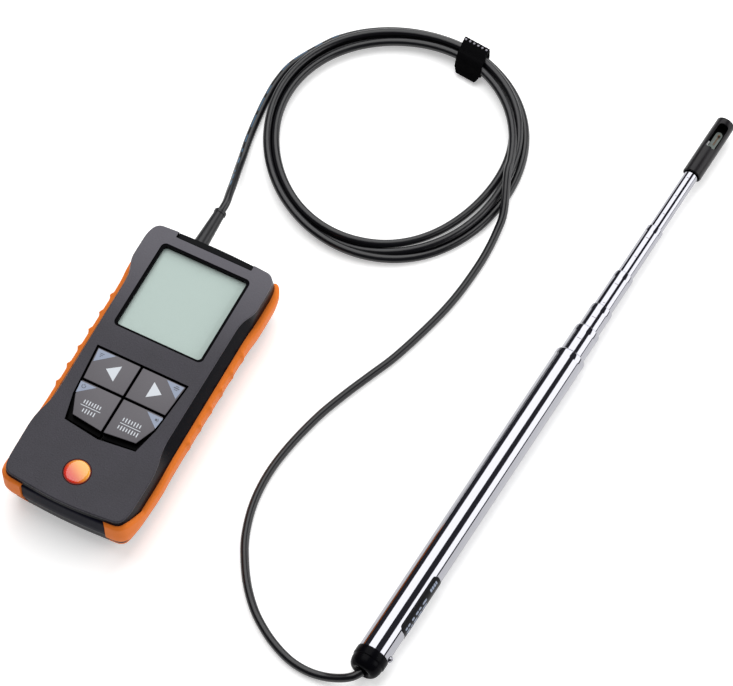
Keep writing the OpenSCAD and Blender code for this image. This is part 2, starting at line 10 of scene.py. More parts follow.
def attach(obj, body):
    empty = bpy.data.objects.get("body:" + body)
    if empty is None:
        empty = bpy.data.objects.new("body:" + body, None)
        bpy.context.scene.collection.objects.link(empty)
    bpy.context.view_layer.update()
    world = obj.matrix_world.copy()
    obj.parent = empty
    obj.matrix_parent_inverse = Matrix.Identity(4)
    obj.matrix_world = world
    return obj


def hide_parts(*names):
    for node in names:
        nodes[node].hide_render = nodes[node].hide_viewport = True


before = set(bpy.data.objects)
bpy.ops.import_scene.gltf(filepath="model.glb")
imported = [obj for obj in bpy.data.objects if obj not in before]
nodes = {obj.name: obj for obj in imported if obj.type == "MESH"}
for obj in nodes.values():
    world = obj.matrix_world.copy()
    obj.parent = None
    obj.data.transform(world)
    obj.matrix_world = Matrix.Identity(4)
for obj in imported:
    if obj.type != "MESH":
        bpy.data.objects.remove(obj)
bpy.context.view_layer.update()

MM = 0.001
HANDSET = "handset"


# ---------------------------------------------------------------- mesh tools

def new_piece(name, verts, faces, matrix=None):
    """A mesh object from points in millimetres."""
    mesh = bpy.data.meshes.new(name)
    points = [Vector(v) for v in verts]
    if matrix is not None:
        points = [matrix @ p for p in points]
    mesh.from_pydata([p * MM for p in points], [], faces)
    mesh.validate()
    obj = bpy.data.objects.new(name, mesh)
    bpy.context.scene.collection.objects.link(obj)
    return obj


def apply_modifiers(obj):
    graph = bpy.context.evaluated_depsgraph_get()
    mesh = bpy.data.meshes.new_from_object(obj.evaluated_get(graph))
    obj.modifiers.clear()
    obj.data = mesh


def cut(obj, *tools, operation="DIFFERENCE"):
    """Boolean with each tool, which is used up."""
    for tool in tools:
        modifier = obj.modifiers.new("cut", "BOOLEAN")
        modifier.object = tool
        modifier.operation = operation
        modifier.solver = "EXACT"
        apply_modifiers(obj)
        bpy.data.objects.remove(tool)
    return obj


def round_edges(obj, width, segments=3, angle=40):
    modifier = obj.modifiers.new("round", "BEVEL")
    modifier.width = width * MM
    modifier.segments = segments
    modifier.limit_method = "ANGLE"
    modifier.angle_limit = math.radians(angle)
    modifier.use_clamp_overlap = True
    apply_modifiers(obj)
    return obj


def smooth(obj, angle=32):
    for face in obj.data.polygons:
        face.use_smooth = True
    obj.data.set_sharp_from_angle(angle=math.radians(angle))
    return obj


def weighted(obj):
    modifier = obj.modifiers.new("normals", "WEIGHTED_NORMAL")
    modifier.keep_sharp = True
    apply_modifiers(obj)
    return obj


def paint(obj, *materials):
    obj.data.materials.clear()
    for material in materials:
        obj.data.materials.append(material)
    return obj


def paint_faces(obj, index, test):
    """Gives material number index to each face whose centre (in mm) and normal pass the test."""
    for face in obj.data.polygons:
        if test(face.center / MM, face.normal):
            face.material_index = index


def join(name, *objs):
    """One object from several, with their materials kept."""
    materials = []
    verts, faces, slots, smooths = [], [], [], []
    for obj in objs:
        base = len(verts)
        verts += [v.co[:] for v in obj.data.vertices]
        for material in obj.data.materials:
            if material not in materials:
                materials.append(material)
        for face in obj.data.polygons:
            faces.append([base + i for i in face.vertices])
            slots.append(materials.index(obj.data.materials[face.material_index]))
            smooths.append(face.use_smooth)
    mesh = bpy.data.meshes.new(name)
    mesh.from_pydata(verts, [], faces)
    for material in materials:
        mesh.materials.append(material)
    mesh.polygons.foreach_set("material_index", slots)
    mesh.polygons.foreach_set("use_smooth", smooths)
    mesh.update()
    for obj in objs:
        bpy.data.objects.remove(obj)
    joined = bpy.data.objects.new(name, mesh)
    bpy.context.scene.collection.objects.link(joined)
    joined.data.set_sharp_from_angle(angle=math.radians(32))
    return joined


def place(obj, body, slot, *replaced):
    """Says what the piece moves with and which CAD nodes it stands for. The slot argument, the finish, is not
    used.
    """
    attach(obj, body)
    if replaced:
        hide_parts(*replaced)
    return obj


def prism(name, polygon, z0, z1):
    """Upright prism over a counter-clockwise polygon."""
    n = len(polygon)
    verts = [(x, y, z0) for x, y in polygon] + [(x, y, z1) for x, y in polygon]
    faces = [list(range(n))[::-1], list(range(n, 2 * n))]
    faces += [[i, (i + 1) % n, n + (i + 1) % n, n + i] for i in range(n)]
    return new_piece(name, verts, faces)


def box(x0, x1, y0, y1, z0, z1):
    return prism("tool", [(x0, y0), (x1, y0), (x1, y1), (x0, y1)], z0, z1)


def arc(x, y, r, start, end, steps):
    """Points along an arc, with its angles in degrees."""
    angles = [math.radians(start + (end - start) * k / steps) for k in range(steps + 1)]
    return [(x + r * math.cos(a), y + r * math.sin(a)) for a in angles]


def disc(x, y, r, n=64):
    return arc(x, y, r, 0, 360, n)[:-1]


def rounded_rect(x, y, w, l, r, steps=8):
    points = []
    for i, (sx, sy) in enumerate([(1, 1), (-1, 1), (-1, -1), (1, -1)]):
        points += arc(x + sx * (w / 2 - r), y + sy * (l / 2 - r), r, 90 * i, 90 * i + 90, steps)
    return points


def clip(polygon, axis, limit, keep_above):
    """The part of a polygon on one side of a line along x or y."""
    result = []
    sign = 1 if keep_above else -1
    for a, b in zip(polygon, polygon[1:] + polygon[:1]):
        da, db = sign * (a[axis] - limit), sign * (b[axis] - limit)
        if da >= 0:
            result.append(a)
        if da * db < 0:
            t = da / (da - db)
            result.append((a[0] + (b[0] - a[0]) * t, a[1] + (b[1] - a[1]) * t))
    return result


def slab(first, second, matrix=None):
    """Cutting tool between two equal outlines, given as lists of points."""
    n = len(first)
    faces = [list(range(n)), list(range(n, 2 * n))[::-1]]
    faces += [[i, n + i, n + (i + 1) % n, (i + 1) % n] for i in range(n)]
    obj = new_piece("tool", first + second, faces, matrix)
    merge_close(obj)
    return obj


def add_sheet(verts, faces, lower, upper, cols):
    """Adds a thin closed sheet between two grids of points with cols points in each row."""
    start, layer = len(verts), len(lower)
    rows = layer // cols
    verts += lower + upper

    def at(i, k):
        return start + i * cols + k

    for i in range(rows - 1):
        for k in range(cols - 1):
            q = [at(i, k), at(i + 1, k), at(i + 1, k + 1), at(i, k + 1)]
            faces.append(q)
            faces.append([v + layer for v in q][::-1])
    rim = [at(0, k) for k in range(cols - 1)] + [at(i, cols - 1) for i in range(rows - 1)]
    rim += [at(rows - 1, k) for k in range(cols - 1, 0, -1)] + [at(i, 0) for i in range(rows - 1, 0, -1)]
    for a, b in zip(rim, rim[1:] + rim[:1]):
        faces.append([a, b, b + layer, a + layer])


def lathe(name, profile, matrix, closed=False, segments=96):
    """Turned piece: the profile is a list of (radius, distance along the axis)."""
    n = len(profile)
    verts, faces = [], []
    for k in range(segments):
        a = 2 * math.pi * k / segments
        verts += [(r * math.cos(a), r * math.sin(a), z) for r, z in profile]
    for k in range(segments):
        m = (k + 1) % segments
        for i in range(n if closed else n - 1):
            j = (i + 1) % n
            faces.append([k * n + i, k * n + j, m * n + j, m * n + i])
    obj = new_piece(name, verts, faces, matrix)
    merge_close(obj)
    return obj


def merge_close(obj):
    """Joins the points that coincide on an axis, and makes the faces point outwards."""
    work = bmesh.new()
    work.from_mesh(obj.data)
    bmesh.ops.remove_doubles(work, verts=work.verts, dist=0.002 * MM)
    bmesh.ops.recalc_face_normals(work, faces=work.faces)
    work.to_mesh(obj.data)
    work.free()


# ---------------------------------------------------------------- materials

def linear(hexcode):
    channels = [int(hexcode[i:i + 2], 16) / 255 for i in (1, 3, 5)]
    return [c / 12.92 if c <= 0.04045 else ((c + 0.055) / 1.055) ** 2.4 for c in channels] + [1]


def surface(name, color, rough, spread=0.06, metallic=0, coat=0, coat_rough=0.1, specular=0.5,
            grain=0.4, height=0.01, mottle=0.08, patch=9, stretch=(1, 1, 1), alpha=1, ior=1.5):
    """Procedural material. grain and patch are the sizes in mm of the bump and of the colour
    variation, height the bump's depth in mm, and mottle the strength of the variation."""
    material = bpy.data.materials.new(name)
    material.use_nodes = True
    tree = material.node_tree
    shader = tree.nodes["Principled BSDF"]
    shader.inputs["Metallic"].default_value = metallic
    shader.inputs["Coat Weight"].default_value = coat
    shader.inputs["Coat Roughness"].default_value = coat_rough
    shader.inputs["Specular IOR Level"].default_value = specular
    shader.inputs["IOR"].default_value = ior
    shader.inputs["Alpha"].default_value = alpha
    place_node = tree.nodes.new("ShaderNodeTexCoord")
    mapping = tree.nodes.new("ShaderNodeMapping")
    mapping.inputs["Scale"].default_value = stretch
    tree.links.new(place_node.outputs["Object"], mapping.inputs["Vector"])

    def noise(size, detail):
        node = tree.nodes.new("ShaderNodeTexNoise")
        node.inputs["Scale"].default_value = 1 / (size * MM)
        node.inputs["Detail"].default_value = detail
        tree.links.new(mapping.outputs["Vector"], node.inputs["Vector"])
        return node.outputs["Fac"]

    fine, broad = noise(grain, 3), noise(patch, 4)
    ramp = tree.nodes.new("ShaderNodeMix")
    ramp.data_type = "RGBA"
    base = linear(color)
    ramp.inputs[6].default_value = [c * (1 - mottle) for c in base[:3]] + [1]
    ramp.inputs[7].default_value = [min(c * (1 + mottle), 1) for c in base[:3]] + [1]
    both = tree.nodes.new("ShaderNodeMath")
    both.operation = "MULTIPLY_ADD"
    both.inputs[1].default_value = 0.5
    half = tree.nodes.new("ShaderNodeMath")
    half.operation = "MULTIPLY"
    half.inputs[1].default_value = 0.5
    tree.links.new(broad, half.inputs[0])
    tree.links.new(fine, both.inputs[0])
    tree.links.new(half.outputs[0], both.inputs[2])
    tree.links.new(both.outputs[0], ramp.inputs[0])
    tree.links.new(ramp.outputs[2], shader.inputs["Base Color"])
    span = tree.nodes.new("ShaderNodeMapRange")
    span.inputs["To Min"].default_value = max(rough - spread, 0.01)
    span.inputs["To Max"].default_value = rough + spread
    tree.links.new(broad, span.inputs["Value"])
    tree.links.new(span.outputs["Result"], shader.inputs["Roughness"])
    bump = tree.nodes.new("ShaderNodeBump")
    bump.inputs["Strength"].default_value = 1
    bump.inputs["Distance"].default_value = height * MM
    tree.links.new(fine, bump.inputs["Height"])
    tree.links.new(bump.outputs["Normal"], shader.inputs["Normal"])
    return material


def blend_along(material, color, start, end):
    """Turns the material's colour into another from one point to another, both in mm."""
    tree = material.node_tree
    shader = tree.nodes["Principled BSDF"]
    base = shader.inputs["Base Color"].links[0].from_socket
    step = Vector(end) - Vector(start)
    line = step / step.length_squared
    where = tree.nodes.new("ShaderNodeTexCoord")
    dot = tree.nodes.new("ShaderNodeVectorMath")
    dot.operation = "DOT_PRODUCT"
    dot.inputs[1].default_value = line / MM
    share = tree.nodes.new("ShaderNodeMapRange")
    share.interpolation_type = "SMOOTHSTEP"
    share.inputs["From Min"].default_value = line.dot(Vector(start))
    share.inputs["From Max"].default_value = line.dot(Vector(end))
    both = tree.nodes.new("ShaderNodeMix")
    both.data_type = "RGBA"
    both.inputs[7].default_value = linear(color)
    tree.links.new(where.outputs["Object"], dot.inputs[0])
    tree.links.new(dot.outputs["Value"], share.inputs["Value"])
    tree.links.new(share.outputs["Result"], both.inputs[0])
    tree.links.new(base, both.inputs[6])
    tree.links.new(both.outputs[2], shader.inputs["Base Color"])


CASE = surface("case_plastic", "#35333a", 0.5, specular=0.24, grain=0.6, height=0.16, mottle=0.6, patch=14)
# Painted light: the face's colour grows lighter towards its top end, standing in for the light that falls
# there.
blend_along(CASE, "#58565d", (0, 5, 27), (-8, 64, 27))
BAND = surface("case_gloss_edge", "#0b0b10", 0.24, specular=0.12, ior=1.2, grain=0.8, height=0.004)
REAR = surface("rear_plastic", "#1a191c", 0.5, specular=0.14, ior=1.3, grain=0.4, height=0.04)
RUBBER = surface("grip_rubber", "#d97226", 0.5, specular=0.2, ior=1.3, grain=0.3, height=0.012, mottle=0.06)
PANEL = surface("end_panel_plastic", "#11111c", 0.3, specular=0.12, ior=1.15, grain=0.4, height=0.02)
SOCKET = surface("cable_panel_plastic", "#0c0c0f", 0.36, specular=0.15, ior=1.25, grain=0.5, height=0.01)
BEZEL = surface("bezel_plastic", "#060608", 0.3, specular=0.06, ior=1.2, grain=0.6, height=0.004)
LCD = surface("lcd_polariser", "#a8b9b3", 0.6, specular=0.1, grain=0.28, height=0.002, mottle=0.02,
              patch=30)
WINDOW = surface("display_window", "#ffffff", 0.05, spread=0.01, specular=0.15, ior=1.2, grain=4,
                 height=0.0005, alpha=0.04)
KEY = surface("key_plastic", "#5a575c", 0.5, specular=0.35, grain=0.3, height=0.025, mottle=0.1)
# Near-black painted shade for the gaps round the keys and for the walls of the openings in the face.
GAP_SHADE = surface("key_gap", "#040405", 0.6, specular=0.05, grain=0.5, height=0.01)
WHITE_INK = surface("white_ink", "#c6cbd1", 0.5, grain=0.2, height=0.002, mottle=0.02)
BLUE_INK = surface("blue_grey_ink", "#858fa3", 0.5, grain=0.2, height=0.002, mottle=0.03)
GREY_INK = surface("icon_ink", "#4d515c", 0.5, grain=0.2, height=0.002)
SKY_INK = surface("cable_print_ink", "#3c5f7c", 0.5, grain=0.2, height=0.002)
BADGE = surface("badge_enamel", "#d42a16", 0.25, specular=0.3, grain=2, height=0.003, mottle=0.02, coat=1,
                coat_rough=0.04)
blend_along(BADGE, "#e8a23a", (-2.4, -52.6, 27), (1.6, -46.2, 27))
BADGE_RIM = surface("badge_rim", "#5c1710", 0.3, specular=0.2, grain=1, height=0.003)
CABLE = surface("cable_jacket", "#0a0a0e", 0.3, specular=0.48, spread=0.05, grain=0.5, height=0.006,
                mottle=0.12)
RELIEF = surface("relief_rubber", "#101014", 0.4, specular=0.42, grain=0.4, height=0.012)
TIE = surface("tie_pile", "#030304", 0.85, specular=0.06, grain=0.4, height=0.2, mottle=0.9, patch=1.2)
THREAD = surface("tie_thread", "#8d8b93", 0.6, grain=0.15, height=0.03)
CHROME = surface("chrome", "#9e9ea4", 0.07, spread=0.025, metallic=1, grain=1.5, height=0.0006,
                 mottle=0.02, patch=6, stretch=(1, 0.08, 1))
ENGRAVED = surface("engraved_scale", "#6d6460", 0.5, metallic=1, grain=0.2, height=0.01)
CAP = surface("cap_plastic", "#07070a", 0.26, specular=0.12, ior=1.25, grain=0.5, height=0.008)
LABEL = surface("label_film", "#08080c", 0.3, specular=0.1, grain=0.6, height=0.004)
HEAD = surface("head_plastic", "#141215", 0.34, specular=0.2, grain=0.35, height=0.012, mottle=0.12)
INNER = surface("carrier_plastic", "#060607", 0.5, specular=0.1, grain=0.4, height=0.01)
CERAMIC = surface("sensor_ceramic", "#7f8883", 0.55, grain=0.2, height=0.01, mottle=0.15, patch=1)
BEAD = surface("sintered_bead", "#8f6f58", 0.35, metallic=0.6, grain=0.15, height=0.03, patch=0.4)
GLASS_ROD = surface("milky_glass", "#f4f7f7", 0.08, grain=0.6, height=0.002, coat=1)
BRASS = surface("bush_brass", "#d8b25a", 0.25, metallic=1, grain=0.5, height=0.003)
ZINC = surface("zinc_steel", "#b9bcc0", 0.35, metallic=1, grain=0.4, height=0.006)
BOARD = surface("board_laminate", "#1f6b43", 0.4, grain=0.6, height=0.02)
CHIP = surface("chip_epoxy", "#1d1d1f", 0.45, grain=0.3, height=0.01)
NYLON = surface("socket_nylon", "#e6e2d6", 0.5, grain=0.4, height=0.01)
SILICONE = surface("keypad_silicone", "#0c0c0d", 0.6, grain=0.5, height=0.01)
ZEBRA = surface("zebra_silicone", "#c2a39c", 0.6, grain=0.3, height=0.01)
JACKET = surface("cell_jacket", "#2c3138", 0.3, grain=0.6, height=0.003, coat=0.3)
LIGHT_GUIDE = surface("light_guide", "#ecece8", 0.3, grain=0.5, height=0.004)

CAD_LOOKS = {
    CASE: ["battery_cover"],
    SOCKET: ["cable_panel"],
    BEZEL: ["display_frame"],
    WINDOW: ["display_window"],
    LCD: ["lcd_panel"],
    LIGHT_GUIDE: ["backlight"],
    ZEBRA: ["elastomer_connector"],
    SILICONE: ["keypad_mat"],
    BOARD: ["circuit_board"],
    CHIP: ["processor_chip", "buzzer", "cable_clamp"],
    ZINC: ["radio_module", "battery_springs", "battery_contacts", "case_screws"],
    NYLON: ["cable_socket"],
    JACKET: ["battery_1", "battery_2", "battery_3"],
    CABLE: ["cable_tail"],
    RELIEF: ["strain_relief"],
    CHROME: ["end_cap_screw"],
    BRASS: [f"guide_bush_{i}" for i in range(1, 6)],
    INNER: ["sensor_carrier", "sensor_grommet"],
    CERAMIC: ["sensor_plate"],
    BEAD: ["hot_wire_bead"],
    GLASS_ROD: ["temperature_sensor"],
}
for look, names in CAD_LOOKS.items():
    for name in names:
        nodes[name].data.materials.clear()
        nodes[name].data.materials.append(look)


# ---------------------------------------------------------------- camera

VIEW_TARGET = Vector((65.84, 64.0, 0)) * MM
VIEW_ELEVATION = math.radians(61.3)
VIEW_TURN = math.radians(27.2)
VIEW_DISTANCE = 1.374

camera = bpy.data.objects.new("camera", bpy.data.cameras.new("camera"))
bpy.context.scene.collection.objects.link(camera)
towards = Vector((math.sin(VIEW_TURN) * math.cos(VIEW_ELEVATION),
                  -math.cos(VIEW_TURN) * math.cos(VIEW_ELEVATION), math.sin(VIEW_ELEVATION)))
camera.location = VIEW_TARGET + towards * VIEW_DISTANCE
camera.rotation_euler = towards.to_track_quat("Z", "Y").to_euler()
camera.data.sensor_width = 36
camera.data.lens = 169.4
camera.data.clip_start = 0.05
bpy.context.scene.camera = camera


# ---------------------------------------------------------------- cable

CABLE_R = 1.7
HANDSET_ROUTE = [(-9.8, 83.4, 15.5), (-10, 88, 15), (-11.6, 94, 13), (-13.6, 101, 9.8),
                 (-15.8, 108, 6.4), (-18, 116, 3.4), (-20.2, 125, 2), (-21.8, 135, 1.75),
                 (-23, 146, 1.75), (-23.2, 157, 1.75), (-21, 168, 1.75), (-17, 177, 1.75)]
PROBE_ROUTE = [(88.8, 141, 4.5), (90, 132, 2.7), (90.4, 122, 1.9), (90, 112, 1.75), (88.8, 100, 1.75),
               (86.8, 89, 1.75), (83.4, 76, 1.75), (79, 62, 1.75), (74.4, 51, 1.75), (69.4, 39, 1.75),
               (64.4, 25, 1.75), (60.4, 8, 1.75), (58.8, -6.5, 1.75), (59.8, -20.5, 1.75),
               (63.4, -33.4, 1.75), (68.2, -43, 1.75), (74.2, -52, 1.75), (81.6, -60, 1.75),
               (89.6, -65.9, 1.75), (97, -69.8, 1.75), (104, -72.2, 1.8), (111, -73, 2),
               (117.6, -72.4, 2.7), (123.6, -71, 4.6), (128, -68.9, 6.3), (130.37, -65.68, 6.7)]
COIL_AT = Vector((34, 152.5, 0))
COIL_START = 154.5
COIL_STEP = 7.5
STEPS_A_TURN = 48
COIL_STEPS = 165
TIE_TURN = 79
TIE_TILT = 84
TIE_REACH = 49
TIE_EDGE = 55
TIE_SHEAR = 0.2
TIE_W = 12


def bump(x, middle, width):
    """Smooth rise and fall of height 1."""
    t = (x - middle) / width
    return math.cos(t * math.pi / 2) ** 2 if abs(t) < 1 else 0


def coil_radius(travel):
    """Radius of the winding after this many degrees of travel: an uneven ring that tightens."""
    turn = travel / 360
    a = math.radians(COIL_START - travel)
    ring = 55.0 - 0.2 * math.cos(a) - 0.7 * math.sin(a) - 0.7 * math.cos(2 * a) - 0.9 * math.sin(2 * a)
    ring += 0.8 * math.sin(3 * a) - 0.7 * math.cos(3 * a)
    tighten = 2.4 + 0.8 * math.cos(a) - 0.1 * math.sin(a) + 0.3 * math.cos(2 * a) - 0.7 * math.sin(2 * a)
    second_turn_out = 1.9 * bump(travel, 549, 50)
    to_probe = 11 * max(0, (travel - 1170) / 75) ** 2
    return ring - turn * tighten + second_turn_out + to_probe


def lay_coil():
    """Points of the winding. Each turn lies on the surface or in the groove between two others."""
    travel = np.arange(COIL_STEPS + 1) * COIL_STEP
    angle = np.radians(COIL_START - travel)
    wanted = np.array([coil_radius(t) for t in travel])
    r = wanted.copy()
    z = CABLE_R + 0.05 + 3.4 * np.clip((travel - 1150) / 60, 0, 1) ** 2
    for climb, rise in ((230, 2.4), (590, -2.4), (950, 2.4)):
        t = np.clip((travel - climb) / 60 + 0.5, 0, 1)
        z += rise * t * t * (3 - 2 * t)
    floor = np.array([CABLE_R + 0.05 + 1.1 * bump((COIL_START - t - TIE_TURN + 180) % 360 - 180, 0, 17)
                      for t in travel])
    for _ in range(600):
        z[2:-2] -= 0.01
        r += 0.07 * (wanted - r)
        z[1:-1] += 0.2 * (z[:-2] - 2 * z[1:-1] + z[2:])
        off = r - wanted
        r[1:-1] += 0.2 * (off[:-2] - 2 * off[1:-1] + off[2:])
        z[:2] = CABLE_R + 0.05
        for lag in range(STEPS_A_TURN, COIL_STEPS, STEPS_A_TURN):
            dr, dz = r[lag:] - r[:-lag], z[lag:] - z[:-lag]
            dz = np.where(np.abs(dz) < 0.05, 0.05, dz)
            gap = np.sqrt(dr ** 2 + dz ** 2)
            push = np.clip(2 * CABLE_R + 0.02 - gap, 0, None) / gap / 2
            r[lag:] += 0.6 * push * dr
            r[:-lag] -= 0.6 * push * dr
            z[lag:] += push * dz
            z[:-lag] -= push * dz
        z = np.maximum(z, floor)
    return [(COIL_AT.x + ri * math.cos(a), COIL_AT.y + ri * math.sin(a), zi)
            for ri, a, zi in zip(r, angle, z)]


def smooth_route(points, parts):
    """Curve through the points, with parts steps between each two."""
    p = [np.array(q, float) for q in points]
    n = len(p)
    line = []
    for i in range(n - 1):
        a, b, c, d = p[max(i - 1, 0)], p[i], p[i + 1], p[min(i + 2, n - 1)]
        for k in range(parts):
            t = k / parts
            line.append(0.5 * (2 * b + (c - a) * t + (2 * a - 5 * b + 4 * c - d) * t * t
                               + (3 * b - a - 3 * c + d) * t ** 3))
    return line + [p[-1]]


def frames_along(line):
    """For each point: the point, and two directions square to the line, the second upwards."""
    result = []
    for i, p in enumerate(line):
        t = Vector(line[min(i + 1, len(line) - 1)]) - Vector(line[max(i - 1, 0)])
        side = t.normalized().cross(Vector((0, 0, 1))).normalized()
        result.append((Vector(p), side, side.cross(t.normalized())))
    return result


def tube(name, line, radius, sides=20):
    verts, faces = [], []
    for p, side, up in frames_along(line):
        for k in range(sides):
            a = 2 * math.pi * k / sides
            verts.append(p + radius * (side * math.cos(a) + up * math.sin(a)))
    for i in range(len(line) - 1):
        for k in range(sides):
            m = (k + 1) % sides
            faces.append([i * sides + k, i * sides + m, (i + 1) * sides + m, (i + 1) * sides + k])
    faces.append(list(range(sides))[::-1])
    faces.append([(len(line) - 1) * sides + k for k in range(sides)])
    return new_piece(name, verts, faces)


coil = lay_coil()
cable_line = smooth_route(HANDSET_ROUTE[:-1] + coil[1:-1] + PROBE_ROUTE, 5)
cable = paint(smooth(tube("cable", cable_line, CABLE_R), 60), CABLE)
place(cable, HANDSET, "cable_jacket", "cable_lead_handset", "cable_coil", "cable_lead_probe")


def cable_print():
    """Small printed strokes in the place of text on the first stretch of the cable. Each stroke runs
    between two steps of the cable's line."""
    frames = frames_along(cable_line)
    strokes = [(12, 14), (15, 17), (18, 19), (22, 24), (26, 27), (29, 31), (33, 36), (37, 40), (41, 43),
               (47, 49), (50, 52), (53, 54), (56, 58)]
    angles = [math.radians(a) for a in (104, 110, 116, 122)]
    verts, faces = [], []

    def layer(radius, first, last):
        return [p + radius * (side * math.cos(a) + up * math.sin(a))
                for p, side, up in frames[first:last + 1] for a in angles]

    for first, last in strokes:
        lower, upper = layer(CABLE_R - 0.1, first, last), layer(CABLE_R + 0.02, first, last)
        add_sheet(verts, faces, lower, upper, len(angles))
    obj = new_piece("cable_print", verts, faces)
    merge_close(obj)
    paint(smooth(obj), SKY_INK)
    return place(obj, HANDSET, "cable_jacket")


marks = cable_print()


# ---------------------------------------------------------------- tie

def on_tie(distance, sideways, z):
    """Point of the tie. It crosses the turns a little askew, so its axes turn about its middle and
    its inner end lies to one side."""
    at, tilt = math.radians(TIE_TURN), math.radians(TIE_TILT)
    middle = COIL_AT + TIE_REACH * Vector((math.cos(at), math.sin(at), 0))
    return (middle + (distance - TIE_REACH) * Vector((math.cos(tilt), math.sin(tilt), 0))
            + (sideways + TIE_SHEAR * (distance - TIE_EDGE)) * Vector((-math.sin(tilt), math.cos(tilt), 0))
            + Vector((0, 0, z)))


def strap(name, path, closed, thickness, width, across=14):
    """A strap whose middle line is a path in (distance from the coil's middle, height). It has a
    width for each point of the path."""
    n = len(path)
    p = [Vector((q[0], q[1])) for q in path]
    normals = []
    for i in range(n):
        a = p[(i - 1) % n] if closed or i else p[0]
        b = p[(i + 1) % n] if closed or i < n - 1 else p[-1]
        t = (b - a).normalized()
        normals.append(Vector((-t.y, t.x)))
    loop = [p[i] + normals[i] * thickness / 2 for i in range(n)]
    back = [p[i] - normals[i] * thickness / 2 for i in range(n)]
    verts, faces = [], []
    for k in range(across + 1):
        for i, q in enumerate(loop + back):
            w = width[i % n] * (k / across - 0.5)
            verts.append(on_tie(q.x, w, q.y))
    m = 2 * n
    last = n if closed else n - 1
    for k in range(across):
        for i in range(last):
            j = (i + 1) % n
            faces.append([k * m + i, k * m + j, (k + 1) * m + j, (k + 1) * m + i])
            faces.append([k * m + n + j, k * m + n + i, (k + 1) * m + n + i, (k + 1) * m + n + j])
        if not closed:
            for i in (0, n - 1):
                faces.append([k * m + i, k * m + n + i, (k + 1) * m + n + i, (k + 1) * m + i])
    for k in (0, across):
        for i in range(last):
            j = (i + 1) % n
            faces.append([k * m + i, k * m + n + i, k * m + n + j, k * m + j])
    obj = new_piece(name, verts, faces)
    merge_close(obj)
    return obj


def around_bundle():
    """Inner and outer radius and top of the turns where the tie holds them."""
    near = []
    for x, y, z in coil:
        angle = math.degrees(math.atan2(y - COIL_AT.y, x - COIL_AT.x))
        if abs((angle - TIE_TURN + 180) % 360 - 180) < 8:
            near.append((math.hypot(x - COIL_AT.x, y - COIL_AT.y), z))
    return (min(r for r, _ in near) - CABLE_R, max(r for r, _ in near) + CABLE_R,
            max(z for _, z in near) + CABLE_R)


def fuzz(obj, depth):
    """Moves every point a little along its normal, as a cut pile does."""
    rng = np.random.default_rng(7)
    shift = rng.uniform(-1, 1, len(obj.data.vertices))
    normals = [v.normal.copy() for v in obj.data.vertices]
    for v, n, s in zip(obj.data.vertices, normals, shift):
        v.co += n * float(s) * depth * MM


def make_tie():
    r_in, r_out, top = around_bundle()
    t = 0.9
    loop = rounded_rect((r_in + r_out) / 2, top / 2 + t / 2, r_out - r_in + t, top - t / 2 + 0.1, 2.2, 7)
    band = strap("band", loop, True, t, [TIE_W] * len(loop))
    z_top = top + t + 0.3
    flap_path = [(r_out + 0.3, z_top - 1.7), (r_out + 0.2, z_top - 0.9), (r_out - 0.7, z_top - 0.2)]
    flat = r_out - r_in - 3.6
    flap_path += [(r_out - 1.8 - i * flat / 6, z_top + 0.12 * math.sin(i)) for i in range(7)]
    flap_path += [(r_in + 0.7, z_top - 0.5), (r_in - 0.4, z_top - 1.4), (r_in - 1.1, z_top - 2.8),
                  (r_in - 1.7, z_top - 4.2), (r_in - 2.5, z_top - 5.5), (r_in - 3.9, z_top - 6.6)]
    path = smooth_path(flap_path)
    taper = [TIE_W - 0.2 - 3.2 * max(0, (i - len(path) + 7) / 6) ** 2 for i in range(len(path))]
    flap = strap("flap", path, False, t, taper)
    for obj in (band, flap):
        modifier = obj.modifiers.new("fine", "SUBSURF")
        modifier.subdivision_type = "SIMPLE"
        modifier.levels = 1
        apply_modifiers(obj)
        fuzz(obj, 0.09)
        paint(smooth(obj, 60), TIE)
    stitches = []
    ball = [(0.5 * math.sin(math.radians(a)), 0.28 * math.cos(math.radians(a))) for a in range(0, 181, 18)]
    for i in range(6):
        at = on_tie(r_out - 1.2, (i - 2.5) * 2, z_top + 0.4)
        stitch = lathe("stitch", ball, Matrix.Translation(at), segments=16)
        stitches.append(paint(smooth(stitch, 80), THREAD))
    return place(join("cable_tie_strap", band, flap, *stitches), HANDSET, "tie_fabric", "cable_tie")


def smooth_path(points):
    return [(q[0], q[1]) for q in smooth_route([(a, b, 0) for a, b in points], 3)]


tie = make_tie()


# ---------------------------------------------------------------- case outlines

FACE_Z = 27
SPLIT_Z = 17.5
CORNER_STEPS = 10
END_BOW = 16
FACE = ([(25.6, 61.2, 2.5), (27.8, 56.5, 4), (27.8, 42.5, 3), (24.8, 36.5, 4),
         (24.2, -26, 6), (27, -35.5, 6), (26.6, -57.5, 5), (24.6, -61.6, 2.5)], (62.9, -64))
EDGE = ([(26.4, 62.2, 3), (27.9, 57, 4), (27.9, 42, 5), (27.3, 36, 5),
         (27.2, -26, 6), (27.6, -35, 6), (27.3, -57.5, 5), (25.4, -62.2, 3)], (63.2, -63.8))
BACK = ([(23.4, 59.6, 3), (25, 55, 4), (25, 42, 5), (24.6, 36, 5),
         (24.6, -26, 6), (24.8, -35, 6), (24.4, -53, 5), (22.6, -56.8, 3)], (60.4, -57.6))
GRIP = ([(27.4, 63, 1.5), (30, 58.5, 4), (30.2, 42.5, 5), (29.3, 36, 5),
         (29.1, -27, 6), (29.7, -36, 6), (28.8, -57, 6), (26, -63.2, 4)], (63.6, -64.4))
FOOT = ([(25.6, 61, 1.5), (27.6, 57, 4), (27.6, 42.5, 5), (26.8, 36, 5),
         (26.8, -27, 6), (27.2, -36, 6), (26, -53, 6), (23.6, -57.8, 4)], (61.8, -58.8))


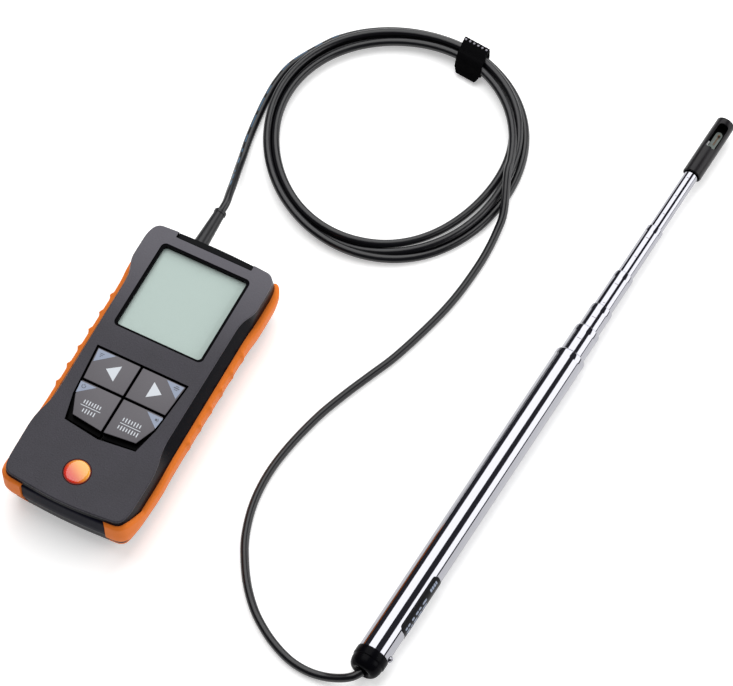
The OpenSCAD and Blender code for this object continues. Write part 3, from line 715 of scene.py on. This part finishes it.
def corner(a, b, c, r):
    a, b, c = Vector(a), Vector(b), Vector(c)
    p = b + (a - b).normalized() * min(r, (a - b).length / 2)
    q = b + (c - b).normalized() * min(r, (c - b).length / 2)
    steps = [i / CORNER_STEPS for i in range(CORNER_STEPS + 1)]
    return [p * (1 - t) ** 2 + b * 2 * t * (1 - t) + q * t * t for t in steps]


def outline(shape, inset=0, straight=1):
    """Closed outline, clockwise from the middle of the top end, as points (x, y)."""
    side, ends = shape
    left = [(-x, y, r) for x, y, r in reversed(side)]
    stops = [(0, ends[0], END_BOW)] + side + [(0, ends[1], END_BOW)] + left
    stops = [(math.copysign(max(abs(x) - inset, 0), x), y - math.copysign(inset, y), r)
             for x, y, r in stops]
    points = []
    for i, b in enumerate(stops):
        a, c = stops[i - 1], stops[(i + 1) % len(stops)]
        points.append(corner(a[:2], b[:2], c[:2], b[2]))
    result = []
    for i, group in enumerate(points):
        result += group
        start, end = group[-1], points[(i + 1) % len(points)][0]
        result += [start.lerp(end, k / straight) for k in range(1, straight)]
    return result


def mix(a, b, t):
    return [p.lerp(q, t) for p, q in zip(a, b)]


def loft(name, levels):
    """Closed solid through outlines of equal length at rising heights."""
    n = len(levels[0][0])
    verts = [(p.x, p.y, z) for points, z in levels for p in points]
    faces = [list(range(n)), [(len(levels) - 1) * n + i for i in range(n)][::-1]]
    for j in range(len(levels) - 1):
        for i in range(n):
            m = (i + 1) % n
            faces.append([j * n + m, j * n + i, (j + 1) * n + i, (j + 1) * n + m])
    return new_piece(name, verts, faces)


# ---------------------------------------------------------------- case shells

WALL = 1.8
PLATE_Z = FACE_Z - 2.2
NOTCH = (-16.4, 17.4, 60)
BOSSES = [(x, y) for x in (-23.2, 23.2) for y in (5.5, 56)]
WINDOW_Y, WINDOW_W, WINDOW_L = 34, 39.5, 41.5
BADGE_Y, BADGE_R = -49.5, 5.5
KEY_TOP, KEY_FOOT, KEY_MID = 2.2, -30.8, -13.3
RECESS_FOOT = [(-18.2, -20.6), (-15.6, -31.8), (0, -33.8), (15.6, -31.8), (18.2, -20.6)]
SHELL_LEVELS = [(outline(BACK), 0), (outline(BACK, -0.9), 1.2),
                (mix(outline(BACK), outline(EDGE), 0.72), 7),
                (mix(outline(BACK), outline(EDGE), 0.94), 13), (outline(EDGE), SPLIT_Z)]


def key_field(d):
    return [(-20 - d, KEY_TOP + d), (-18 - d, -20.6 - d / 3), (-14.6 - d, -29.2 - d), (0, KEY_FOOT - d),
            (14.6 + d, -29.2 - d), (18 + d, -20.6 - d / 3), (20 + d, KEY_TOP + d)]


GRIP_FOOT_Z, GRIP_TOP_Z = 4.5, 18.6
RIM_Z = 24.2
RIM_Y = (-50, -60.5)


def rim_height(y):
    """Top of the grips and the end panel, which rises towards the bottom end."""
    t = min(1, max(0, (y - RIM_Y[0]) / (RIM_Y[1] - RIM_Y[0])))
    return GRIP_TOP_Z + (RIM_Z - GRIP_TOP_Z) * t


def end_rebate():
    """Room in the shell for the raised end of the grips and the end panel."""
    y, foot = RIM_Y[0] + 0.2, SPLIT_Z - 1.5
    side = [(y, foot), (y, GRIP_TOP_Z + 0.05), (RIM_Y[1], RIM_Z + 0.05), (-90, RIM_Z + 0.05), (-90, foot)]
    below = slab([(-40, y, z) for y, z in side], [(40, y, z) for y, z in side])
    core = loft("tool", [(outline(EDGE, 1.25), 10), (outline(EDGE, 1.25), 30)])
    merge_close(core)
    return cut(below, core)


# The notch for the cable panel is a little deeper at the level of the face.
NOTCH_STEP, NOTCH_STEP_Z = 1.1, 25.4


def make_front_shell():
    edge_r, rise = 0.55, 0.7
    levels = [(outline(EDGE), SPLIT_Z), (outline(EDGE, -0.02), SPLIT_Z + 0.8)]
    levels.append((outline(EDGE), SPLIT_Z + 1.5))
    for k in range(7):
        a = math.radians(15 * k)
        levels.append((outline(FACE, edge_r * (1 - math.cos(a))), FACE_Z - rise + rise * math.sin(a)))
    shell = loft("front_shell_body", levels)
    merge_close(shell)
    cut(shell, box(-22.6, 22.6, -60, 59, SPLIT_Z - 1, PLATE_Z),
        prism("tool", rounded_rect(0, WINDOW_Y, WINDOW_W, WINDOW_L, 2.2), 20, FACE_Z + 1),
        prism("tool", key_field(0.25), 20, FACE_Z + 1),
        prism("tool", RECESS_FOOT, 20, FACE_Z + 1),
        prism("tool", disc(0, BADGE_Y, BADGE_R + 0.15), FACE_Z - 1, FACE_Z + 1),
        box(NOTCH[0], NOTCH[1], NOTCH[2], 66, 16, 30),
        box(NOTCH[0], NOTCH[1], NOTCH[2] - NOTCH_STEP, 61, NOTCH_STEP_Z, 30), end_rebate())
    round_edges(shell, 0.25)
    paint(smooth(shell), CASE, BAND, GAP_SHADE)
    paint_faces(shell, 1, lambda c, n: c.z < FACE_Z - rise)
    # Painted shade: the walls of the window, key field and notch openings below the face are painted near
    # black, where shade falls in the gaps.
    paint_faces(shell, 2, lambda c, n: c.z < FACE_Z - 0.26 and abs(c.x) < 21 and -34.5 < c.y < 60.5)
    return place(weighted(shell), HANDSET, "case_plastic", "front_shell")


def make_rear_shell():
    shell = loft("rear_shell_body", SHELL_LEVELS)
    merge_close(shell)
    tools = [box(-24, 24, 0, 59, WALL, SPLIT_Z + 1), box(-24, 24, -55, 1, 14, SPLIT_Z + 1),
             box(-22, 22, -57.5, -1.5, 1, 16.3), box(-21.7, 21.7, -80, -0.9, -1, 2),
             box(-22.7, 22.7, -80, -0.9, 0.6, 1.5), box(-12.6, -7, 57, 66, 12.3, SPLIT_Z + 1),
             box(NOTCH[0], NOTCH[1], NOTCH[2], 66, 3, SPLIT_Z + 1)]
    tools += [prism("tool", disc(x, y, 2.2, 40), -1, 2.4) for x, y in BOSSES]
    cut(shell, *tools)
    round_edges(shell, 0.2, 2)
    paint(smooth(shell), REAR)
    return place(weighted(shell), HANDSET, "case_plastic", "rear_shell")


# ---------------------------------------------------------------- grips and end panel

RIDGES = [28.5 - 8.7 * i for i in range(6)]
DENSE = 60
PANEL_X = 19.3


def strip(name, first, last, inset, ridged):
    """Band of grip round the case, between two places given as shares of the way round its outline."""
    top, foot = outline(GRIP, inset, DENSE), outline(FOOT, inset, DENSE)
    edge, back = outline(EDGE, 0.15, DENSE), outline(BACK, 0.15, DENSE)
    top_in = outline(GRIP, inset + 1.3, DENSE)
    heights = [GRIP_FOOT_Z, 4.9, 6, 7.5, 9, 10.5, 12, 13.5, 15, 16, 16.8, 17.4, 17.9, 18.3, 18.52, GRIP_TOP_Z]
    chosen = [i for i in range(len(top)) if first <= i / len(top) <= last]
    core = outline(EDGE, 1.3, DENSE)
    verts = []
    for i in chosen:
        rim = rim_height(top[i].y)
        round_top = 1.6 - 0.6 * (rim - GRIP_TOP_Z) / (RIM_Z - GRIP_TOP_Z)
        ring = []
        for z in heights:
            if z > 12:
                z = 12 + (z - 12) * (rim - 12) / (GRIP_TOP_Z - 12)
            t = 1 if z >= 15 else 1 - 0.9 * ((15 - z) / 10.5) ** 1.5
            p = foot[i].lerp(top[i], t)
            if z > rim - round_top:
                s = min(1, (z - rim + round_top) / round_top)
                p = p.lerp(top_in[i], 1 - math.sqrt(1 - s * s))
            if z < 5:
                p = p.lerp(edge[i], 0.12 * (5 - z) / 0.5)
            if ridged and abs(p.x) > 20:
                lift = max(math.exp(-((p.y - y) / 0.95) ** 2) for y in ridged)
                p = p + Vector((math.copysign(0.85 * lift * min(1, max(0, (z - 8) / 6)), p.x), 0))
            ring.append((p.x, p.y, z))
        for z in (rim, 12, GRIP_FOOT_Z):
            t = 1 if z > SPLIT_Z else 0.72 + 0.22 * (z - 7) / 6
            p = back[i].lerp(edge[i], max(0.3, t))
            if z > SPLIT_Z and rim > GRIP_TOP_Z:
                p = edge[i].lerp(core[i], min(1, (rim - GRIP_TOP_Z) / 2))
            ring.append((p.x, p.y, z))
        verts += ring
    m = len(heights) + 3
    faces = []
    for i in range(len(chosen) - 1):
        for k in range(m):
            j = (k + 1) % m
            faces.append([i * m + k, i * m + j, (i + 1) * m + j, (i + 1) * m + k])
    faces.append(list(range(m)))
    faces.append([(len(chosen) - 1) * m + k for k in range(m)][::-1])
    obj = new_piece(name, verts, faces)
    merge_close(obj)
    return obj


def share(which, x_limit):
    """Share of the way round the grip outline to the right side's first (0) or last (-1) point that
    lies beyond x_limit."""
    top = outline(GRIP, 0, DENSE)
    half = range(len(top) // 2)
    hits = [i for i in half if top[i].x >= x_limit]
    return hits[which] / len(top)


def make_grip(side):
    first, last = share(0, 26.2), share(-1, PANEL_X)
    if side < 0:
        first, last = 1 - last, 1 - first
    name = "grip_right_skin" if side > 0 else "grip_left_skin"
    obj = strip(name, first, last, 0, RIDGES)
    round_edges(obj, 0.35, 3, 50)
    paint(smooth(obj, 50), RUBBER)
    return place(obj, HANDSET, "grip_rubber", "grip_right" if side > 0 else "grip_left")


def make_end_panel():
    last = share(-1, PANEL_X)
    obj = strip("end_panel_skin", last + 0.0005, 1 - last - 0.0005, 0.5, [])
    round_edges(obj, 0.3, 3, 50)
    paint(smooth(obj, 50), PANEL)
    return place(obj, HANDSET, "panel_plastic", "end_panel")


# ---------------------------------------------------------------- keys and badge

KEY_GAP = 1.1
KEY_FACE_Z = FACE_Z - 0.15
INK = 0.03
FLANGE_Z = PLATE_Z - 0.5


def key_plan(side, row, d):
    polygon = clip(key_field(d), 0, side * KEY_GAP / 2, side > 0)
    return clip(polygon, 1, KEY_MID + row * KEY_GAP / 2, row > 0)


def counter_clockwise(polygon):
    area = sum(a[0] * b[1] - b[0] * a[1] for a, b in zip(polygon, polygon[1:] + polygon[:1]))
    return polygon if area > 0 else polygon[::-1]


def ink(polygon, material):
    return paint(prism("ink", counter_clockwise(polygon), KEY_FACE_Z - 0.05, KEY_FACE_Z + INK), material)


def bar(x0, x1, y, h, tilt=0):
    return [(x0, y - h / 2), (x1, y - h / 2 + tilt), (x1, y + h / 2 + tilt), (x0, y + h / 2)]


def word(x0, x1, y, h, letters):
    """A row of thin upright strokes in the place of a printed word."""
    step = (x1 - x0) / letters
    return [bar(x0 + (i + 0.2) * step, x0 + (i + 0.2) * step + 0.42, y, h * (1 if i % 3 else 0.8))
            for i in range(letters)]


def ring_sector(x, y, r0, r1, a0, a1):
    return arc(x, y, r1, a0, a1, 14) + arc(x, y, r0, a1, a0, 14)


def make_key(name, side, row, white, blue, grey):
    cap = prism("cap", counter_clockwise(key_plan(side, row, -0.7)), FLANGE_Z - 0.2, KEY_FACE_Z)
    round_edges(cap, 0.22, 3)
    paint(smooth(cap), KEY, GAP_SHADE)
    # Painted shade: the key's sides below its top, its flange and its post are painted near black, where
    # shade falls in the gap round the key.
    paint_faces(cap, 1, lambda c, n: c.z < KEY_FACE_Z - 0.5)
    flange = paint(prism("flange", counter_clockwise(key_plan(side, row, 0.9)), 23, FLANGE_Z), GAP_SHADE)
    post = paint(prism("post", disc(side * 9, -5.6 if row > 0 else -20.5, 2.2, 32), 22.6, 23), GAP_SHADE)
    inks = [ink(p, WHITE_INK) for p in white] + [ink(p, BLUE_INK) for p in blue]
    for p in grey:
        mark = ink(p, GREY_INK)
        for v in mark.data.vertices:
            v.co.z += 0.02 * MM
        inks.append(mark)
    return place(join(name + "_cap", cap, flange, post, *inks), name, "key_plastic", name)


def mirrored(polygon):
    return [(-x, y) for x, y in polygon]


def make_keys():
    left_arrow = [(-12.1, -5.4), (-7, -9.1), (-7, -1.7)]
    right_arrow = [(12.6, -5.6), (7.5, -1.9), (7.5, -9.3)]
    corner_tri = [(-18.9, 1.1), (-18.2, -4.7), (-11.3, 1.1)]
    low_tri = [(-18.1, -14.4), (-17.5, -19.6), (-11.2, -14.4)]
    make_key("key_left", -1, 1, [left_arrow], [corner_tri],
             [bar(-17.4, -15.6, -0.3, 0.3), bar(-17.2, -16, -1, 0.3), bar(-17, -16.4, -1.7, 0.3)])
    make_key("key_right", 1, 1, [right_arrow], [mirrored(corner_tri)],
             [bar(15.2, 17.6, -0.5, 0.5), bar(15.7, 17.2, -1.3, 0.3), bar(15.7, 17.2, 0.3, 0.3)])
    make_key("key_mode", -1, -1, word(-12.9, -4.9, -21.6, 1.9, 7) + [bar(-13.3, -4.6, -23.3, 0.28)]
             + word(-11.6, -5.6, -25.2, 1.9, 5), [low_tri],
             [ring_sector(-16, -16, 0.6, 0.9, -230, 50), bar(-16.14, -15.86, -15.2, 0.8)])
    make_key("key_menu", 1, -1, word(4.3, 12.8, -21.6, 1.9, 7) + [bar(4.2, 13.1, -23.4, 0.28)]
             + word(4.1, 13.4, -25.3, 1.9, 8), [mirrored(low_tri)],
             [ring_sector(16, -16.1, 0, 0.55, 0, 359), ring_sector(16, -16.1, 0.8, 1, -60, 60)])


def make_badge():
    rise = 0.95
    profile = [(0, FACE_Z - 0.9), (BADGE_R - 0.2, FACE_Z - 0.9), (BADGE_R, FACE_Z - 0.7),
               (BADGE_R, FACE_Z - 0.05), (BADGE_R - 0.12, FACE_Z + 0.08),
               (BADGE_R - 0.45, FACE_Z + 0.08), (BADGE_R - 0.5, FACE_Z + 0.02)]
    dome_r = BADGE_R - 0.5
    profile += [(dome_r * math.cos(math.radians(a)), FACE_Z + 0.02 + rise * math.sin(math.radians(a)) * 0.86)
                for a in range(10, 91, 8)]
    profile[-1] = (0, profile[-1][1])
    badge = lathe("badge_dome", profile, Matrix.Translation((0, BADGE_Y, 0)), segments=96)
    paint(smooth(badge, 50), BADGE, BADGE_RIM)
    paint_faces(badge, 1, lambda c, n: math.hypot(c.x, c.y - BADGE_Y) > dome_r + 0.05)
    return place(badge, HANDSET, "badge_enamel", "badge")


# ---------------------------------------------------------------- probe

PROBE_TURN = 4.3
PROBE = (Matrix.Translation((131, -57.3, 6.7)) @ Matrix.Rotation(math.radians(-PROBE_TURN), 4, "Z")
         @ Matrix.Rotation(math.radians(-90), 4, "X"))
HEAD_ROLL = 12
HEAD_AXES = PROBE @ Matrix.Rotation(math.radians(HEAD_ROLL), 4, "Z")
HANDLE_R, HANDLE_L = 6.5, 149.8
HEAD_AT, HEAD_L, HEAD_R = 248.3, 29.5, 4
TUBE_R = [HANDLE_R, 5.4, 4.75, 4.15, 3.55, 3]
TUBE_WALL = [0.6, 0.3, 0.3, 0.3, 0.3, 0.3]
TUBE_FRONT = [HANDLE_L, 163.1, 174.7, 192.8, 218.2, HEAD_AT + 3.5]
FIT, COLLAR_L, CLOSED_STEP, CLOSED_REAR = 0.05, 3, 1.5, 12.5


def tube_rear(i):
    closed = HANDLE_L + CLOSED_STEP * i + (TUBE_FRONT[5] - HEAD_AT if i == 5 else 0)
    return 0 if i == 0 else TUBE_FRONT[i] - closed + CLOSED_REAR


def make_tube(i):
    """Drawn tube with its front end rolled in; a shallow groove marks where the roll begins."""
    ro, front, rear = TUBE_R[i], TUBE_FRONT[i], tube_rear(i)
    ri = ro - TUBE_WALL[i]
    rim = ri if i == 5 else TUBE_R[i + 1] + FIT
    lip = 0.1 if i == 5 else min(0.9, ro - rim - 0.05)
    profile = [(ri, rear), (ri + 0.05, rear), (ro - 0.08, rear), (ro, rear + 0.08)]
    if i < 5:
        profile += [(ro, front - 3.6), (ro - 0.05, front - 3.4)]
        profile += [(ro - 0.05, front - 3.1), (ro, front - 2.9)]
    profile += [(ro - lip + lip * math.cos(math.radians(a)), front - lip + lip * math.sin(math.radians(a)))
                for a in range(0, 91, 10)]
    profile += [(rim, front), (rim, front - COLLAR_L), (ri, front - COLLAR_L)]
    obj = lathe("handle_tube" if i == 0 else f"telescope_{i}", profile, PROBE, closed=True, segments=128)
    paint(smooth(obj, 40), CHROME)
    node = "probe_handle" if i == 0 else f"tube_section_{i}"
    return place(obj, HANDSET if i == 0 else f"section_{i}", "chrome_tube", node)


def wrap_patch(name, radius, thickness, a0, a1, phi0, phi1, rounding, rows=24, cols=12):
    """Rounded patch that lies on a tube, between distances a0 and a1 and angles phi0 and phi1."""
    degrees_per_mm = math.degrees(1) / radius
    layers = []
    for r in (radius - 0.02, radius + thickness):
        layer = []
        for i in range(rows + 1):
            a = a0 + (a1 - a0) * i / rows
            d = max(0, rounding - min(a - a0, a1 - a))
            m = (rounding - math.sqrt(max(0, rounding ** 2 - d ** 2))) * degrees_per_mm
            for k in range(cols + 1):
                phi = math.radians(phi0 + m + (phi1 - phi0 - 2 * m) * k / cols)
                layer.append((r * math.cos(phi), r * math.sin(phi), a))
        layers.append(layer)
    verts, faces = [], []
    add_sheet(verts, faces, layers[0], layers[1], cols + 1)
    obj = new_piece(name, verts, faces, PROBE)
    merge_close(obj)
    return obj


def make_label():
    t = 0.1
    film = paint(smooth(wrap_patch("film", HANDLE_R, t, 12.3, 38.8, -52, 36, 1.8), 50), LABEL)
    marks = []

    def line_of_marks(phi, height, spans):
        half = math.degrees(height / 2 / HANDLE_R)
        for a0, a1 in spans:
            mark = wrap_patch("mark", HANDLE_R + t, 0.02, a0, a1, phi - half, phi + half, 0.2, rows=6, cols=4)
            marks.append(paint(mark, BLUE_INK))

    line_of_marks(-28, 1.5, [(32.4, 33.4), (33.7, 34.7), (35, 36), (36.3, 37.1)])
    line_of_marks(-24, 0.9, [(13.8, 15.2), (15.6, 17.2), (18.6, 20.2), (21.4, 23.2), (23.6, 25.2),
                             (26.4, 29.2)])
    line_of_marks(-7, 0.9, [(13.8, 16.2), (16.8, 18), (18.8, 21.4), (22.2, 24.6), (25.2, 28.4)])
    line_of_marks(10, 0.9, [(13.8, 15.4), (16, 19.2), (20, 21.8), (22.8, 26.4)])
    return place(join("handle_label_film", film, *marks), HANDSET, "label_film", "handle_label")


def make_end_cap():
    profile = [(0, 9), (5.8, 9), (5.9, 8.8), (5.9, 0.05), (6.4, 0.05), (6.62, -0.05), (6.7, -0.3),
               (6.7, -3.2), (6.62, -3.42), (6.45, -3.5), (6.36, -3.62), (6.34, -3.9), (6.3, -5),
               (6.2, -5.5), (5.95, -6.4), (5.6, -7.2), (5, -7.95), (4.4, -8.32), (3.8, -8.4),
               (3.2, -8.3), (2.7, -7.9), (2.3, -7.2), (2.05, -6.2), (1.9, -5.2), (0, -5.2)]
    cap = lathe("end_cap_body", profile, PROBE, segments=96)
    paint(smooth(cap, 35), CAP)
    return place(cap, HANDSET, "cap_plastic", "end_cap")


def make_sleeve():
    tip, bore = HEAD_AT + HEAD_L, 3.4
    slot_w, slot = 4.5, (HEAD_AT + 13.5, HEAD_AT + 26.4)
    profile = [(bore, HEAD_AT + 0.15), (bore + 0.12, HEAD_AT), (HEAD_R - 0.25, HEAD_AT)]
    profile.append((HEAD_R, HEAD_AT + 0.25))
    for degrees in range(0, 91, 9):
        a = math.radians(degrees)
        profile.append((HEAD_R - 0.9 + 0.9 * math.cos(a), tip - 0.8 + 0.8 * math.sin(a)))
    profile += [(0, tip), (0, tip - 0.9), (bore, tip - 0.9)]
    sleeve = lathe("sensor_sleeve", profile, HEAD_AXES, closed=True, segments=96)
    middle, length = (slot[0] + slot[1]) / 2, slot[1] - slot[0]
    plan = rounded_rect(0, middle, slot_w, length, 1.5, 12)
    cut(sleeve, slab([(x, -20, y) for x, y in plan], [(x, 20, y) for x, y in plan], HEAD_AXES))
    round_edges(sleeve, 0.3, 2, 45)
    paint(smooth(sleeve, 35), HEAD)
    return place(sleeve, "sleeve", "head_plastic", "protective_sleeve")


def make_scales():
    """Short engraved lines on the upper side of each section, one every 10 mm, every other one
    shorter."""
    for i in range(1, 6):
        lines = []
        front = TUBE_FRONT[i]
        for k, a in enumerate(np.arange(front - 7, tube_rear(i) + 12, -10)):
            half = 7 if k % 2 else 13
            lines.append(wrap_patch("line", TUBE_R[i], 0.008, a, a + 0.25, -90 - half, -90 + half, 0.05,
                                    rows=2, cols=8))
        for line in lines:
            paint(line, ENGRAVED)
        place(join(f"depth_scale_{i}", *lines), f"section_{i}", "chrome_tube")


# ---------------------------------------------------------------- build

make_front_shell()
make_rear_shell()
make_grip(1)
make_grip(-1)
make_end_panel()
make_keys()
make_badge()
for number in range(6):
    make_tube(number)
make_label()
make_end_cap()
make_sleeve()
make_scales()


# ---------------------------------------------------------------- floor, light

FLOOR_GLOW = 0.35


def make_floor():
    """Pale paper that gives off a little light, which keeps it close to white."""
    size = 6000
    floor = new_piece("floor", [(-size, -size, 0), (size, -size, 0), (size, size, 0), (-size, size, 0)],
                      [[0, 1, 2, 3]])
    paper = surface("floor_paper", "#f4f4f4", 0.8, grain=3, height=0.01, mottle=0.005, specular=0.2)
    shader = paper.node_tree.nodes["Principled BSDF"]
    shader.inputs["Emission Color"].default_value = (1, 1, 1, 1)
    shader.inputs["Emission Strength"].default_value = FLOOR_GLOW
    paint(floor, paper)


def softbox(name, aim, direction, distance, width, length, power):
    """Rectangular light that faces the point aim; its length runs along Y."""
    light = bpy.data.lights.new(name, "AREA")
    light.shape = "RECTANGLE"
    light.size, light.size_y = width * MM, length * MM
    light.energy = power
    obj = bpy.data.objects.new(name, light)
    bpy.context.scene.collection.objects.link(obj)
    away = Vector(direction).normalized()
    across = Vector((0, 1, 0)).cross(away).normalized()
    along = away.cross(across)
    obj.matrix_world = Matrix.Translation((Vector(aim) + away * distance) * MM) @ Matrix(
        [(across.x, along.x, away.x), (across.y, along.y, away.y), (across.z, along.z, away.z)]).to_4x4()


def make_world():
    world = bpy.data.worlds.new("studio")
    bpy.context.scene.world = world
    world.use_nodes = True
    tree = world.node_tree
    fill = tree.nodes["Background"]
    fill.inputs["Color"].default_value = (1, 1, 1, 1)
    fill.inputs["Strength"].default_value = 0.3
    dim = tree.nodes.new("ShaderNodeBackground")
    dim.inputs["Color"].default_value = (0.05, 0.05, 0.06, 1)
    path = tree.nodes.new("ShaderNodeLightPath")
    both = tree.nodes.new("ShaderNodeMixShader")
    tree.links.new(path.outputs["Is Glossy Ray"], both.inputs[0])
    tree.links.new(fill.outputs[0], both.inputs[1])
    tree.links.new(dim.outputs[0], both.inputs[2])
    tree.links.new(both.outputs[0], tree.nodes["World Output"].inputs["Surface"])


def make_lights():
    probe_middle = (138, 100, 7)

    def along_reflection(angle):
        a = math.radians(angle)
        return (0.904 * math.sin(a), 0.427, 0.904 * math.cos(a))
    softbox("softbox_left", probe_middle, along_reflection(-21.2), 1300, 1150, 2200, 22)
    softbox("softbox_right", probe_middle, along_reflection(62), 1300, 800, 1800, 12.5)


make_floor()
make_world()
make_lights()
bpy.context.scene.view_settings.view_transform = "Standard"
